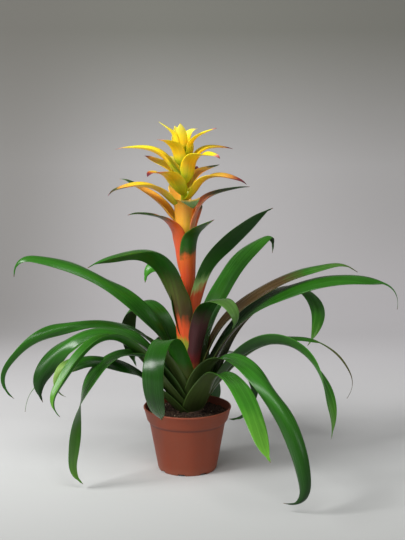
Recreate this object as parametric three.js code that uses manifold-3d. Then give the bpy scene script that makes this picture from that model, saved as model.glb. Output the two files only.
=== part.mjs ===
// A flowering bromeliad in a plastic nursery pot, in millimetres, +Z up.
// The origin is the middle of the pot's underside. The plant leans slightly towards -X.
// Azimuths are in degrees about +Z: 0 is +X (right), 270 is -Y (front).
import * as THREE from 'three';
import { mergeVertices } from 'three/addons/utils/BufferGeometryUtils.js';
import Module from 'manifold-3d';

// Pot
const POT_HEIGHT = 88;
const RIM_RADIUS = 60;
const RIM_WALL = 2.2;
const BAND_LOW_RADIUS = 55.3;
const BAND_LOW_Z = 70.5;
const BODY_TOP_RADIUS = 51.8;
const BODY_TOP_Z = 66;
const BODY_LOW_RADIUS = 40.5;
const BODY_LOW_Z = 2.5;
const FOOT_RADIUS = 39;
const POT_WALL = 1.8;
const FLOOR_THICK = 2;
const FOOT_RING = 5;
const FOOT_RISE = 2.5;
const MIDDLE_DISC = 16;
const DRAIN_COUNT = 8;
const DRAIN_WIDTH = 9.5;
const DRAIN_START = -11.5;
const POT_SIDES = 48;

// Soil
const SOIL_TOP = 80;
const SOIL_GAP = 0.4;
const SOIL_BUMP = 1.3;
const SOIL_SIDES = 32;
const SOIL_RINGS = 5;

// Plant
const PLANT_X = 4;
const LEAN = 1.5;
const RINGS = 10;
const INNER_RADIUS = 8;
const RING_STEP = 1.25;
const INNER_START = 24.6;
const START_STEP = 2.4;
const CROWN_DEPTH = 22;
const SEAT_GAP = 0.35;
const BLADE_THICK = 0.8;
const LEAF_STATIONS = 15;
const STEPS_BETWEEN = 6;
const LEAF_CLASP = 1.45;
const SHEATH_WIDTH = 38;
const TAIL_WIDTH = 4;
const CAMBER = 1.4;
const LEAF_OPENS = [0.25, 0.45];
const BLADE_POINTS = 5;
const STEM_RADIUS = 4.4;
const STEM_FOOT_RADIUS = 6.5;
const BRACT_ROOT_RADIUS = 4;
const BRACT_THICK = 0.9;
const BRACT_CLASP = 2.8;
const BRACT_CUP = 45;
const BRACT_OPENS = [1, 2];
const BRACT_STATIONS = 7;
const JOIN_HEIGHT = 280;
const STEM_TOP = 358;
const STEM_SIDES = 10;
const CROWN_SIDES = 20;
const SCRAP_VOLUME = 5;

const COLOURS = {
  pot: 0x80442f,
  soil: 0x2b211b,
  crown: 0x47502a,
  stem: 0xd2582c,
  head: 0xf0b81c,
  leaf: 0x2f6b2a,
};

// A blade's line: azimuth, start pitch (rise), end pitch below level (fall), where along it the bend lies
// (bend) and how drawn out that is (ease), both in hundredths of its length, then the length of its midrib,
// its width, and where it has them a last bend of the tip (hook) and a sideways sweep.
// A leaf also has its ring on the crown, of which 0 is the innermost, and may have a roll to one side, a
// twist about its midrib round the place given by turn, an arch of its outer part (below 0 where its edges
// hang down) and a thin tail, which is a share of its length.
const LEAVES = [
  { ring: 0, azimuth: 325, rise: 86, fall: -35, bend: 53, ease: 6, long: 332, wide: 29, hook: 16,
    sweep: -24, roll: 9, twist: -34, turn: 56, arch: -0.51, tail: 0.02 },
  { ring: 0, azimuth: 145, rise: 86, fall: 80, bend: 85, ease: 5, long: 225, wide: 21, hook: -5, sweep: 79,
    roll: 9, twist: -65, turn: 80, arch: -0.71, tail: 0.02 },
  { ring: 0, azimuth: 235, rise: 81, fall: 14, bend: 62, ease: 8, long: 356, wide: 37, hook: 12, sweep: 7,
    roll: 6, twist: 13, turn: 56, arch: -1.22, tail: 0.02 },
  { ring: 1, azimuth: 50, rise: 81, fall: 2, bend: 65, ease: 34, long: 320, wide: 28, hook: 110, sweep: 2,
    roll: 19, twist: -29, turn: 82, arch: -1.09, tail: 0.03 },
  { ring: 2, azimuth: 140, rise: 77, fall: 116, bend: 61, ease: 11, long: 270, wide: 27, hook: 13,
    sweep: -12, roll: -33, twist: 43, turn: 66, arch: -0.92, tail: 0.02 },
  { ring: 2, azimuth: 322, rise: 84, fall: 120, bend: 89, ease: 14, long: 224, wide: 23, hook: 32,
    sweep: -32, roll: -38, twist: 38, turn: 66, arch: -0.34, tail: 0.02 },
  { ring: 1, azimuth: 174, rise: 81, fall: 3, bend: 51, ease: 57, long: 344, wide: 26, hook: 86, sweep: 8,
    roll: -67, twist: 45, turn: 44, arch: -1.06, tail: 0.02 },
  { ring: 3, azimuth: 5, rise: 85, fall: -1, bend: 36, ease: 30, long: 322, wide: 24, hook: 42, sweep: 4,
    roll: 20, twist: -7, turn: 72, arch: -0.89, tail: 0.03 },
  { ring: 3, azimuth: 251, rise: 76, fall: 152, bend: 60, ease: 16, long: 293, wide: 29, hook: 2,
    sweep: 12, roll: 6, twist: 5, turn: 74, arch: -0.37, tail: 0.02 },
  { ring: 4, azimuth: 1, rise: 74, fall: 33, bend: 67, ease: 52, long: 383, wide: 35, hook: 65, sweep: 11,
    roll: 18, twist: 38, turn: 85, arch: -0.93, tail: 0.11 },
  { ring: 7, azimuth: 228, rise: 51, fall: 47, bend: 54, ease: 6, long: 297, wide: 32, hook: 76, sweep: -6,
    roll: 8, arch: 1.6, tail: 0.02 },
  { ring: 4, azimuth: 89, rise: 82, fall: 86, bend: 40, ease: 16, long: 296, wide: 30, sweep: -21,
    roll: -4, twist: -7 },
  { ring: 5, azimuth: 186, rise: 68, fall: 71, bend: 57, ease: 15, long: 304, wide: 33, hook: 40, sweep: 2,
    roll: -17, twist: -71, turn: 78, arch: -1.27, tail: 0.02 },
  { ring: 5, azimuth: 302, rise: 78, fall: 90, bend: 25, ease: 28, long: 389, wide: 28, hook: 93,
    sweep: 25, roll: 9, twist: 53, turn: 65, arch: -1.8, tail: 0.03 },
  { ring: 5, azimuth: 58, rise: 73, fall: 164, bend: 76, ease: 56, long: 276, wide: 18, hook: 30,
    sweep: -32, roll: -13, twist: -122, turn: 70, arch: -1.8, tail: 0.02 },
  { ring: 6, azimuth: 334, rise: 57, fall: 81, bend: 54, ease: 11, long: 317, wide: 31, hook: 15,
    roll: -39, twist: 33, turn: 74, arch: 0.76, tail: 0.02 },
  { ring: 4, azimuth: 217, rise: 78, fall: 72, bend: 75, ease: 56, long: 374, wide: 21, hook: 64,
    sweep: -23, roll: -18, twist: -118, turn: 69, arch: -1.8, tail: 0.02 },
  { ring: 6, azimuth: 105, rise: 66, fall: 80, bend: 45, ease: 20, long: 280, wide: 32 },
  { ring: 7, azimuth: 8, rise: 56, fall: 90, bend: 65, ease: 21, long: 310, wide: 23, hook: 42, sweep: 6,
    roll: -9, twist: 92, turn: 68, arch: -0.84, tail: 0.33 },
  { ring: 6, azimuth: 210, rise: 67, fall: 82, bend: 44, ease: 12, long: 333, wide: 28, hook: 44, sweep: 3,
    roll: 19, twist: 64, turn: 66, arch: -0.13, tail: 0.02 },
  { ring: 7, azimuth: 101, rise: 67, fall: 75, bend: 44, ease: 20, long: 252, wide: 31, sweep: -2,
    roll: -3, twist: 10 },
  { ring: 8, azimuth: 37, rise: 51, fall: 169, bend: 102, ease: 20, long: 356, wide: 32, hook: -32,
    sweep: -18, roll: -1, twist: -32, turn: 80, arch: -1.06, tail: 0.02 },
  { ring: 8, azimuth: 149, rise: 57, fall: 46, bend: 39, ease: 8, long: 354, wide: 22, hook: 32, sweep: 5,
    roll: -14, twist: 36, turn: 77, arch: -0.99, tail: 0.23 },
  { ring: 8, azimuth: 292, rise: 53, fall: 53, bend: 49, ease: 20, long: 307, wide: 28, hook: -34,
    sweep: -5, roll: -7, arch: -0.05, tail: 0.02 },
  { ring: 9, azimuth: 201, rise: 46, fall: 116, bend: 100, ease: 20, long: 238, wide: 25, hook: 38,
    sweep: -3, roll: -46, twist: -131, turn: 83, arch: -1.8 },
  { ring: 9, azimuth: 78, rise: 44, fall: 70, bend: 42, ease: 20, long: 195, wide: 31 },
];

// The bracts round the stem, each by its height above the soil. Those up to the join belong to the stem.
// A bract leans in over its base by BRACT_CUP degrees, unless it has its own cup.
const BRACTS = [
  { height: 146, azimuth: 268, rise: 88, fall: -78, bend: 60, ease: 6, long: 70, wide: 30, cup: 10 },
  { height: 152, azimuth: 312, rise: 87, fall: -25, bend: 68, ease: 5, long: 142, wide: 37, cup: 16 },
  { height: 208, azimuth: 95, rise: 84, fall: -15, bend: 45, ease: 12, long: 75, wide: 34 },
  { height: 180, azimuth: 205, rise: 86, fall: -9, bend: 59, ease: 7, long: 146, wide: 40, hook: 16,
    cup: 16 },
  { height: 236, azimuth: 70, rise: 84, fall: -20, bend: 45, ease: 12, long: 74, wide: 32 },
  { height: 217, azimuth: 10, rise: 86, fall: -8, bend: 52, ease: 8, long: 142, wide: 33, hook: 8,
    cup: 16 },
  { height: 236, azimuth: 286, rise: 86, fall: 26, bend: 69, ease: 4, long: 87, wide: 41, cup: 34 },
  { height: 256, azimuth: 166, rise: 83, fall: -30, bend: 13, ease: 18, long: 108, wide: 31, hook: 28 },
  { height: 268, azimuth: 108, rise: 84, fall: -20, bend: 45, ease: 12, long: 68, wide: 30 },
  { height: 278, azimuth: 198, rise: 82, fall: 17, bend: 27, ease: 25, long: 114, wide: 37, hook: 30 },
  { height: 290, azimuth: 338, rise: 85, fall: 17, bend: 36, ease: 15, long: 100, wide: 32, hook: 18 },
  { height: 294, azimuth: 62, rise: 84, fall: -30, bend: 45, ease: 12, long: 54, wide: 28 },
  { height: 298, azimuth: 236, rise: 83, fall: -1, bend: 26, ease: 22, long: 90, wide: 34, hook: 43 },
  { height: 303, azimuth: 28, rise: 84, fall: -12, bend: 33, ease: 15, long: 62, wide: 28 },
  { height: 309, azimuth: 118, rise: 84, fall: -30, bend: 45, ease: 12, long: 54, wide: 27 },
  { height: 313, azimuth: 318, rise: 86, fall: 2, bend: 47, ease: 7, long: 85, wide: 34, hook: 28 },
  { height: 320, azimuth: 148, rise: 84, fall: -25, bend: 8, ease: 9, long: 65, wide: 27, hook: 22 },
  { height: 323, azimuth: 176, rise: 84, fall: 2, bend: 33, ease: 17, long: 100, wide: 35, hook: 13 },
  { height: 328, azimuth: 8, rise: 84, fall: 8, bend: 42, ease: 13, long: 77, wide: 30, hook: 8 },
  { height: 331, azimuth: 78, rise: 84, fall: -40, bend: 45, ease: 12, long: 54, wide: 24 },
  { height: 337, azimuth: 222, rise: 84, fall: -12, bend: 54, ease: 11, long: 59, wide: 30 },
  { height: 344, azimuth: 112, rise: 85, fall: -45, bend: 45, ease: 12, long: 46, wide: 21 },
  { height: 350, azimuth: 352, rise: 84, fall: -21, bend: 42, ease: 9, long: 58, wide: 26 },
  { height: 352, azimuth: 182, rise: 86, fall: -39, bend: 56, ease: 7, long: 54, wide: 26 },
  { height: 355, azimuth: 30, rise: 84, fall: 7, bend: 77, ease: 8, long: 40, wide: 21 },
  { height: 357, azimuth: 263, rise: 84, fall: -70, bend: 59, ease: 11, long: 40, wide: 17 },
  { height: 358, azimuth: 130, rise: 85, fall: -65, bend: 59, ease: 11, long: 34, wide: 16 },
];

const radians = THREE.MathUtils.degToRad;
const smooth = (x, low, high) => THREE.MathUtils.smoothstep(x, low, high);

// The bend of a leaf at the fraction t of its length, from 0 at its base to 1 at its tip
function bent(t, bend, ease) {
  const step = (x) => 1 / (1 + Math.exp((bend - 100 * x) / ease));
  return (step(t) - step(0)) / (step(1) - step(0));
}

// The midrib as stations, each with its place and the directions across it and towards its upper face
function midrib(blade, radius, height, stations) {
  const { azimuth, rise, fall, bend, ease, long, hook = 0, sweep = 0, cup = 0 } = blade;
  const { roll = 0, twist = 0, turn = 75 } = blade;
  const steps = stations * STEPS_BETWEEN;
  const place = new THREE.Vector3(
    radius * Math.cos(radians(azimuth)), radius * Math.sin(radians(azimuth)), height);
  const list = [];
  for (let i = 0; i <= steps; i += 1) {
    const t = i / steps;
    const pitch = radians(rise - (rise + fall) * bent(t, bend, ease)
      - hook * smooth(t, 0.86, 1) - cup * (1 - smooth(t, 0, 0.3)));
    const heading = radians(azimuth + sweep * t * t);
    const along = new THREE.Vector3(
      Math.cos(pitch) * Math.cos(heading), Math.cos(pitch) * Math.sin(heading), Math.sin(pitch));
    const rolled = radians(roll * smooth(t, 0.15, 0.5)
      + twist * smooth(t, turn / 100 - 0.15, turn / 100 + 0.15));
    const across = new THREE.Vector3(-Math.sin(heading), Math.cos(heading), 0).applyAxisAngle(along, rolled);
    const upper = new THREE.Vector3().crossVectors(along, across).normalize();
    if (i % STEPS_BETWEEN === 0) list.push({ t, pitch, place: place.clone(), across, upper });
    place.addScaledVector(along, long / steps);
  }
  return list;
}

// The width of a strap leaf: a broad sheath, then an even strap with a blunt end that runs out in a tail
function strapWidth(t, wide, tail) {
  const end = THREE.MathUtils.clamp((t - 0.58 + tail) / 0.42, 0, 1);
  const body = wide * (1 - Math.pow(end, 4.5));
  const sheath = (SHEATH_WIDTH - wide) * (1 - smooth(t, 0.04, 0.3));
  const drip = TAIL_WIDTH * Math.min((1 - t) / tail, 1) * smooth(t, 0.5, 0.8);
  return Math.max(body + sheath, drip, 1.6);
}

// The points across a blade at one station, on an arc that clasps the plant's axis until the blade opens
function acrossBlade(station, width, fold, clasp, opens, points) {
  const { t, place, pitch, across, upper } = station;
  const reach = Math.hypot(place.x, place.y);
  const around = Math.max(Math.sin(pitch), 0.2) / reach;
  const free = fold / width;
  const held = pitch > 0 ? 1 - smooth(t, opens[0], opens[1]) : 0;
  const bow = free + (Math.max(free, around) - free) * held;
  const curve = Math.abs(bow) > 0.001 ? bow : 0.001;
  const half = Math.min(width / 2, clasp / 2 / Math.abs(curve));
  const list = [];
  for (let j = 0; j < points; j += 1) {
    const angle = curve * half * (2 * j / (points - 1) - 1);
    list.push(place.clone()
      .addScaledVector(across, Math.sin(angle) / curve)
      .addScaledVector(upper, (1 - Math.cos(angle)) / curve));
  }
  return list;
}

// A closed blade: rows of points across it, thickened evenly, split alike on both faces
function bladeGeometry(stations, widthAt, foldAt, clasp, opens, thick) {
  const points = BLADE_POINTS;
  const corners = [];
  for (const station of stations) {
    const row = acrossBlade(station, widthAt(station.t), foldAt(station.t), clasp, opens, points);
    for (const side of [1, -1]) {
      for (const point of row) corners.push(point.clone().addScaledVector(station.upper, side * thick / 2));
    }
  }
  const ring = 2 * points;
  const faces = [];
  for (let i = 0; i < stations.length - 1; i += 1) {
    const near = i * ring;
    const far = near + ring;
    for (let j = 0; j < points - 1; j += 1) {
      faces.push(near + j, far + j, far + j + 1, near + j, far + j + 1, near + j + 1);
      const c = near + points + j;
      const d = far + points + j;
      faces.push(c, d + 1, d, c, c + 1, d + 1);
    }
    const last = points - 1;
    faces.push(near, near + points, far + points, near, far + points, far);
    const a = near + last;
    const b = far + last;
    faces.push(a, b, b + points, a, b + points, a + points);
  }
  const end = (stations.length - 1) * ring;
  for (let j = 0; j < points - 1; j += 1) {
    faces.push(j, j + 1, points + j + 1, j, points + j + 1, points + j);
    faces.push(end + j, end + points + j + 1, end + j + 1, end + j, end + points + j, end + points + j + 1);
  }
  const geometry = new THREE.BufferGeometry();
  geometry.setAttribute('position', new THREE.Float32BufferAttribute(corners.flatMap((c) => c.toArray()), 3));
  geometry.setIndex(faces);
  return geometry;
}

function leafGeometry(leaf) {
  const radius = INNER_RADIUS + RING_STEP * leaf.ring;
  const height = INNER_START - START_STEP * leaf.ring;
  const stations = midrib(leaf, radius, height, LEAF_STATIONS);
  const { wide, tail = 0.04, arch = -0.8 } = leaf;
  const width = (t) => strapWidth(t, wide, tail);
  const fold = (t) => CAMBER + (arch - CAMBER) * smooth(t, 0.25, 0.6);
  return bladeGeometry(stations, width, fold, LEAF_CLASP, LEAF_OPENS, BLADE_THICK);
}

const wasm = await Module();
wasm.setup();

function solidOf(geometry) {
  const bare = new THREE.BufferGeometry();
  bare.setAttribute('position', geometry.getAttribute('position'));
  bare.setIndex(geometry.getIndex());
  const merged = mergeVertices(bare, 1e-4);
  return new wasm.Manifold(new wasm.Mesh({
    numProp: 3,
    vertProperties: new Float32Array(merged.getAttribute('position').array),
    triVerts: new Uint32Array(merged.getIndex().array),
  }));
}

function geometryOf(solid) {
  const mesh = solid.getMesh();
  const geometry = new THREE.BufferGeometry();
  geometry.setAttribute('position', new THREE.BufferAttribute(mesh.vertProperties, 3));
  geometry.setIndex(new THREE.BufferAttribute(mesh.triVerts, 1));
  return geometry;
}

// A lathe about +Z from a list of [radius, z]
function turned(profile, sides) {
  const geometry = new THREE.LatheGeometry(profile.map(([r, z]) => new THREE.Vector2(r, z)), sides);
  return geometry.rotateX(Math.PI / 2);
}

const model = new THREE.Group();
const plant = new THREE.Group();
plant.position.set(PLANT_X, 0, SOIL_TOP);
plant.rotation.y = radians(-LEAN);
model.add(plant);

function add(group, name, geometry, colour, roughness = 0.45) {
  const material = new THREE.MeshStandardMaterial({ color: colour, roughness, metalness: 0 });
  const mesh = new THREE.Mesh(geometry, material);
  mesh.name = name;
  group.add(mesh);
}

function boxAt(width, depth, low, high, radius, azimuth) {
  return new THREE.BoxGeometry(depth, width, high - low)
    .translate(radius, 0, (low + high) / 2)
    .rotateZ(radians(azimuth));
}

function potGeometry() {
  const floorTop = FOOT_RISE + FLOOR_THICK;
  const profile = [
    [0, 0], [MIDDLE_DISC, 0], [MIDDLE_DISC + 1, FOOT_RISE],
    [FOOT_RADIUS - FOOT_RING, FOOT_RISE], [FOOT_RADIUS - FOOT_RING + 0.5, 0], [FOOT_RADIUS, 0],
    [BODY_LOW_RADIUS, BODY_LOW_Z], [BODY_TOP_RADIUS, BODY_TOP_Z], [BAND_LOW_RADIUS, BAND_LOW_Z],
    [RIM_RADIUS - 0.6, POT_HEIGHT - 1.6], [RIM_RADIUS, POT_HEIGHT - 1.2], [RIM_RADIUS, POT_HEIGHT],
    [RIM_RADIUS - RIM_WALL, POT_HEIGHT], [BODY_TOP_RADIUS - POT_WALL, BODY_TOP_Z - 1],
    [BODY_LOW_RADIUS - POT_WALL, floorTop], [0, floorTop],
  ];
  let pot = solidOf(turned(profile, POT_SIDES));
  for (let i = 0; i < DRAIN_COUNT; i += 1) {
    const azimuth = 270 + DRAIN_START + i * 360 / DRAIN_COUNT;
    const notch = boxAt(DRAIN_WIDTH, 12, -1, FOOT_RISE, FOOT_RADIUS, azimuth);
    const slot = boxAt(DRAIN_WIDTH, 6, -1, floorTop + 1, FOOT_RADIUS - FOOT_RING - 2, azimuth);
    pot = pot.subtract(solidOf(notch)).subtract(solidOf(slot));
  }
  return geometryOf(pot);
}

// The crown that the leaves clasp, grown by gap all round where it is the hole that it stands in
function crownProfile(gap) {
  const lowRing = RINGS - 1;
  const seat = BLADE_THICK / 2 + SEAT_GAP;
  const wideRadius = INNER_RADIUS + RING_STEP * lowRing - seat;
  const wideHeight = INNER_START - START_STEP * lowRing;
  return [
    [0, -CROWN_DEPTH - gap], [wideRadius - 4 + gap, -CROWN_DEPTH - gap],
    [wideRadius + gap, 0], [wideRadius + gap, wideHeight],
    [INNER_RADIUS - seat + gap, INNER_START], [0, INNER_START],
  ];
}

function soilGeometry() {
  const floorTop = FOOT_RISE + FLOOR_THICK;
  const bottom = floorTop + SOIL_GAP;
  const innerAt = (z) => BODY_LOW_RADIUS - POT_WALL - SOIL_GAP
    + (BODY_TOP_RADIUS - BODY_LOW_RADIUS) * (z - floorTop) / (BODY_TOP_Z - 1 - floorTop);
  const shoulder = BODY_TOP_Z - 1;
  const bandSlope = (RIM_RADIUS - RIM_WALL - BODY_TOP_RADIUS + POT_WALL) / (POT_HEIGHT - shoulder);
  const edge = innerAt(shoulder) + bandSlope * (SOIL_TOP - shoulder);
  const profile = [[0, bottom], [innerAt(bottom), bottom], [innerAt(shoulder), shoulder]];
  for (let i = 0; i < SOIL_RINGS; i += 1) profile.push([edge * (1 - i / SOIL_RINGS), SOIL_TOP]);
  profile.push([0, SOIL_TOP]);
  const geometry = turned(profile, SOIL_SIDES);
  const corners = geometry.getAttribute('position');
  for (let i = 0; i < corners.count; i += 1) {
    const x = corners.getX(i);
    const y = corners.getY(i);
    const inside = Math.hypot(x, y) < edge - 1;
    if (corners.getZ(i) > SOIL_TOP - 0.5 && inside) {
      const bump = Math.sin(0.33 * x + 1) * Math.cos(0.29 * y) + 0.5 * Math.sin(0.71 * x - 0.53 * y);
      corners.setZ(i, SOIL_TOP + SOIL_BUMP * bump - 0.6);
    }
  }
  const hole = turned(crownProfile(SEAT_GAP), CROWN_SIDES).applyMatrix4(plant.matrix);
  return geometryOf(solidOf(geometry).subtract(solidOf(hole)));
}

// A bract: a cup where it clasps the stem, then a sharp recurved tip
function bractGeometry(bract) {
  const stations = midrib({ cup: BRACT_CUP, ...bract }, BRACT_ROOT_RADIUS, bract.height, BRACT_STATIONS);
  const width = (t) => {
    const swell = Math.min(0.55 + 0.45 * smooth(t, 0, 0.3), 0.25 + 2.2 * Math.sqrt(t));
    const taper = t < 0.45 ? 1 : 1 - Math.pow((t - 0.45) / 0.55, 2.2);
    return Math.max(bract.wide * swell * taper, 1.4);
  };
  const fold = (t) => 1.5 - 0.9 * smooth(t, 0.2, 0.9);
  return bladeGeometry(stations, width, fold, BRACT_CLASP, BRACT_OPENS, BRACT_THICK);
}

// A core with its bracts joined to it. The small hollows that joining seals between them are filled.
function spikeGeometry(core, bracts) {
  const solids = [core, ...bracts.map(bractGeometry)].map(solidOf);
  const shells = wasm.Manifold.union(solids).decompose();
  return geometryOf(wasm.Manifold.union(shells.filter((shell) => shell.volume() > SCRAP_VOLUME)));
}

function stemGeometry() {
  const low = INNER_START + SEAT_GAP;
  const profile = [
    [0, low], [STEM_FOOT_RADIUS, low], [STEM_RADIUS, low + 8], [STEM_RADIUS, JOIN_HEIGHT], [0, JOIN_HEIGHT],
  ];
  return spikeGeometry(turned(profile, STEM_SIDES), BRACTS.filter((bract) => bract.height < JOIN_HEIGHT));
}

function headGeometry() {
  const low = JOIN_HEIGHT + SEAT_GAP;
  const profile = [[0, low], [STEM_RADIUS, low], [STEM_RADIUS, STEM_TOP], [0, STEM_TOP + 10]];
  return spikeGeometry(turned(profile, STEM_SIDES), BRACTS.filter((bract) => bract.height > JOIN_HEIGHT));
}

plant.updateMatrix();
add(model, 'pot', potGeometry(), COLOURS.pot, 0.5);
add(model, 'soil', soilGeometry(), COLOURS.soil, 0.95);
add(plant, 'crown', turned(crownProfile(0), CROWN_SIDES), COLOURS.crown);
add(plant, 'flower_stem', stemGeometry(), COLOURS.stem);
add(plant, 'flower_head', headGeometry(), COLOURS.head);
LEAVES.forEach((leaf, index) => {
  add(plant, `leaf_${String(index + 1).padStart(2, '0')}`, leafGeometry(leaf), COLOURS.leaf);
});

export default model;
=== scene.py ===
"""The looks of a flowering bromeliad in a plastic nursery pot.

The sizes and lists of the plant and its pot are in millimetres and degrees, as in the part's own source.
MM turns them into metres. Azimuth 0 is +X (right) and 270 is -Y (front).
"""

import math

import bpy
import numpy as np
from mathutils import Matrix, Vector


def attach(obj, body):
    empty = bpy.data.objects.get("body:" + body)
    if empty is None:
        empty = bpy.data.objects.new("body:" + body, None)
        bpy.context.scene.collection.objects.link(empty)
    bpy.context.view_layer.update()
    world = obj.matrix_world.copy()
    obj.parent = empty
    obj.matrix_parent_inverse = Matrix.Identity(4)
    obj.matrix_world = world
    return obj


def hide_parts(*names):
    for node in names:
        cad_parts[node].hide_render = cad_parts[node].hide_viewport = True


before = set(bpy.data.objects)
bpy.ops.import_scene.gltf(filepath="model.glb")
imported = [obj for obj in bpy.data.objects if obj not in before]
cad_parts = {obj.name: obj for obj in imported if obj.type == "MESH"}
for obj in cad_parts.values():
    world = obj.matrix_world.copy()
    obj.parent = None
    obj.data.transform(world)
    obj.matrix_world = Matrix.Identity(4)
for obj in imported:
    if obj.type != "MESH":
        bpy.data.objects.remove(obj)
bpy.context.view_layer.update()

MM = 0.001
SEED = 2595
BRACT_SEED = SEED + 100
SOIL_SEED = SEED + 300

# The plant's foot on the soil and its lean towards -X
PLANT_X = 4
SOIL_TOP = 80
LEAN = 1.5

# The crown and the rings of leaves round it
CROWN_DEPTH = 22
CROWN_FOOT_RADIUS = 10.5
CROWN_RADIUS = 18.4
CROWN_TOP_RADIUS = 7.2
INNER_RADIUS = 8
RING_STEP = 1.25
INNER_START = 24.6
START_STEP = 2.4
SHEATH_WIDTH = 38
TAIL_WIDTH = 4
LEAF_ROOT_DEPTH = 3
CAMBER = 1.4

# The flower spike, whose core tapers over a short length at its foot and its end
STEM_RADIUS = 4.4
STEM_FOOT_RADIUS = 6.5
STEM_TAPER = 8
STEM_END = 366
JOIN_HEIGHT = 280
SEAT_GAP = 0.35
CORE_SIDES = 32
BRACT_ROOT_RADIUS = 4
BRACT_CUP = 45

# Each kind of blade: its columns across, the widest turn of its section in radians, its thickness, how far
# its edge waves and its sheath tucks under, how sharp its keel is, and where along it the clasp opens
LEAF_BLADE = dict(columns=21, clasp=2.3, thick=0.85, wave=0.45, tuck=0.35, keel=1.8, opens=(0.25, 0.45))
BRACT_BLADE = dict(columns=19, clasp=2.8, thick=0.8, wave=0.2, tuck=0, keel=0, opens=(1, 2))
LEAF_STATIONS = 120
BRACT_STATIONS = 56

# Where along a blade its tip hooks, its cup ends, and its roll and twist come in
HOOK_START = 0.86
CUP_END = 0.3
ROLL_SPAN = (0.15, 0.5)
TWIST_REACH = 0.15

# The pot, whose foot ring is notched over each drain slot, and its soil
POT_HEIGHT = 88
RIM_RADIUS = 60
SHOULDER_Z = 66
FLOOR_UNDER = 2.5
FLOOR_TOP = 4.5
FOOT_RADIUS = 39
SLOT_RADII = (29, 34)
DRAIN_COUNT = 8
DRAIN_START = 258.5
DRAIN_HALF_ANGLE = 7.2
NOTCH_SLOPE = 0.06
POT_TURN_STEP = 2
SHARP_ANGLE = 38
SOIL_RADIUS = 54.6
SOIL_BOTTOM = 4.9
SOIL_MOUND = 3.4
SOIL_RINGS = 72
SOIL_TURN_STEP = 2.25

# The lumps of the soil, each kind by the length and height of its waves and their number
SOIL_LUMPS = [(16, 0.5, 8), (7, 0.42, 14), (3.2, 0.3, 22), (1.6, 0.16, 26)]

# The loose crumbs and fibres, how far out they lie, and the share that has each tone, from dark to pale
CRUMBS = 2600
CRUMB_REACH = 53.4
CRUMB_TONES = {0.08: 0.36, 0.25: 0.36, 0.45: 0.18, 0.62: 0.08, 0.8: 0.02}
FIBRES = 260
FIBRE_REACH = 50
FIBRE_PLACES = 7
FIBRE_TONES = {0.3: 0.35, 0.55: 0.35, 0.7: 0.2, 0.8: 0.1}

# The patches of pale grains, each by the X and Y of its middle, its spread and its number of grains
PALE_GRAINS = [(21, -30, 4.5, 9), (-29, 34, 3, 5), (36, -8, 9, 5), (-20, -33, 10, 4)]

# How fine the grain is, in steps per metre: across, along and between blades, or along X, Y and Z
VEIN_WANDER = (30, 14, 1)
VEIN_STREAKS = (260, 7, 1)
POT_RUNS = (90, 90, 9)
CROWN_FIBRES = (700, 700, 40)

# The studio, in metres: paper that runs back over the floor and bends up behind the plant, and its lights
PAPER_SIDE = 3.0
PAPER_FRONT = -3.0
PAPER_TURN = 0.8
PAPER_BEND = 0.6
PAPER_TOP = 2.6
WORLD_LIGHT = 0.22
LIGHTS = [
    dict(name="key", place=(-1.9, -1.0, 1.7), target=(0, 0, 0.2), width=1.1, height=0.9, watts=80),
    dict(name="fill", place=(1.9, -1.6, 1.1), target=(0, 0, 0.25), width=0.8, height=0.8, watts=6),
    dict(name="front", place=(-0.2, -1.5, 2.0), target=(0, 0, 0.2), width=2.2, height=0.5, watts=30),
]

# The camera: its place in metres, how far it looks down in degrees, and its lens and sensor in millimetres
CAMERA_PLACE = (0.0207, -1.6866, 0.5831)
CAMERA_DOWN = 10.3
CAMERA_LENS = 85.07
CAMERA_SENSOR = 36

# A blade's line: azimuth, start pitch (rise), end pitch below level (fall), where along it the bend lies
# (bend) and how drawn out that is (ease), both in hundredths of its length, then its length and its width,
# and where it has them a last bend of the tip (hook) and a sideways sweep. A leaf also has its ring on the
# crown, of which 0 is the innermost, and may have a roll to one side, a twist about its midrib round the
# place given by turn, an arch of its outer part (below 0 where its edges hang down) and a thin tail, which
# is a share of its length. Its dress names its colours. The lines of the leaves and bracts that the photo
# shows aren't chosen by hand: most of their values come from a program that fitted them to the photo.
LINE =("azimuth", "rise", "fall", "bend", "ease", "long", "wide", "dress")


def row(*line, **more):
    """A blade with the values of its line in that order, and what else it has by name."""
    return dict(zip(LINE, line), **more)


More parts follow.
